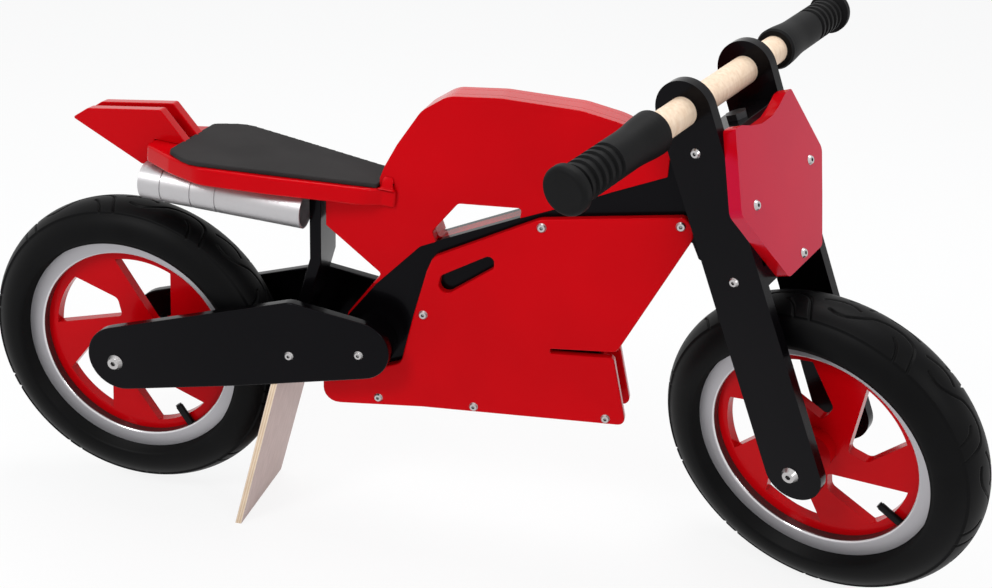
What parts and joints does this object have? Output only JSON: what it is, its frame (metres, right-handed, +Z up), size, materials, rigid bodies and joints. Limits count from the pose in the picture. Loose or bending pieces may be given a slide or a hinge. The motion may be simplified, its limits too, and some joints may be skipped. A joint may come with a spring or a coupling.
{
  "type": "balance bike",
  "caption": "Wooden balance bike with a motorcycle-style body, steerable fork, spoked wheels with air tyres, a padded seat and a display stand under the rear.",
  "frame": {"origin": "on the floor in the middle of the display stand's foot, in the bike's mid-plane", "axes": "+X forward, +Y to the rider's left, +Z up; the bars are turned to the rider's right as pictured"},
  "size_m": [0.9214, 0.3887, 0.5028],
  "materials": {
    "red_lacquer": "gloss lacquer on plywood",
    "black_lacquer": "gloss lacquer on plywood",
    "ply": "plain plywood",
    "beech": "clear varnish",
    "pad": "matte",
    "zinc": "zinc plated",
    "alloy": "polished",
    "exhaust": "satin",
    "grip": "matte",
    "tyre": "moulded",
    "black_plastic": "matte"
  },
  "bodies": {
    "frame": {"tank_core": "red_lacquer", "tank_right": "red_lacquer", "tank_left": "red_lacquer", "panel_right": "black_lacquer", "panel_left": "black_lacquer", "fairing_right": "red_lacquer", "fairing_left": "red_lacquer", "fairing_screws": "zinc", "swing_arm_right": "black_lacquer", "swing_arm_left": "black_lacquer", "arm_spacer_right": "black_lacquer", "arm_spacer_left": "black_lacquer", "cross_block": "black_lacquer", "arm_screws": "zinc", "rear_axle": "zinc", "rear_axle_spacers": "zinc", "seat_strut": "black_lacquer", "seat_board": "red_lacquer", "seat_pad": "pad", "tail_right": "red_lacquer", "tail_left": "red_lacquer", "exhaust_right": "exhaust", "exhaust_left": "exhaust", "stand_board": "ply", "head_tube": "zinc"},
    "steering": {"fork_plate_right": "black_lacquer", "fork_plate_left": "black_lacquer", "upper_block": "black_lacquer", "lower_block": "black_lacquer", "fork_screws": "zinc", "pivot_bolt": "zinc", "head_washers": "black_plastic", "handlebar": "beech", "grip_right": "grip", "grip_left": "grip", "number_plate": "red_lacquer", "plate_screws": "zinc", "front_axle": "zinc", "front_axle_spacers": "zinc"},
    "rear_wheel": {"rear_wheel_board": "red_lacquer", "rear_hub_bush": "zinc", "rear_rim": "alloy", "rear_tyre": "tyre", "rear_tube": "grip", "rear_valve": "black_plastic"},
    "front_wheel": {"front_wheel_board": "red_lacquer", "front_hub_bush": "zinc", "front_rim": "alloy", "front_tyre": "tyre", "front_tube": "grip", "front_valve": "black_plastic"}
  },
  "joints": [
    {"name": "steering_turn", "type": "hinge", "parent": "frame", "child": "steering", "pos_m": [0.53718, 0, 0.14796], "axis": [-0.3697, 0, 0.9291], "range_deg": [-4.3, 59.7]},
    {"name": "front_wheel_spin", "type": "hinge", "parent": "steering", "child": "front_wheel", "pos_m": [0.52788, 0.00525, 0.14426], "axis": [0.4319, 0.8854, 0.1719], "continuous": true},
    {"name": "rear_wheel_spin", "type": "hinge", "parent": "frame", "child": "rear_wheel", "pos_m": [-0.11304, 0, 0.15886], "axis": [0, 1, 0], "continuous": true}
  ]
}
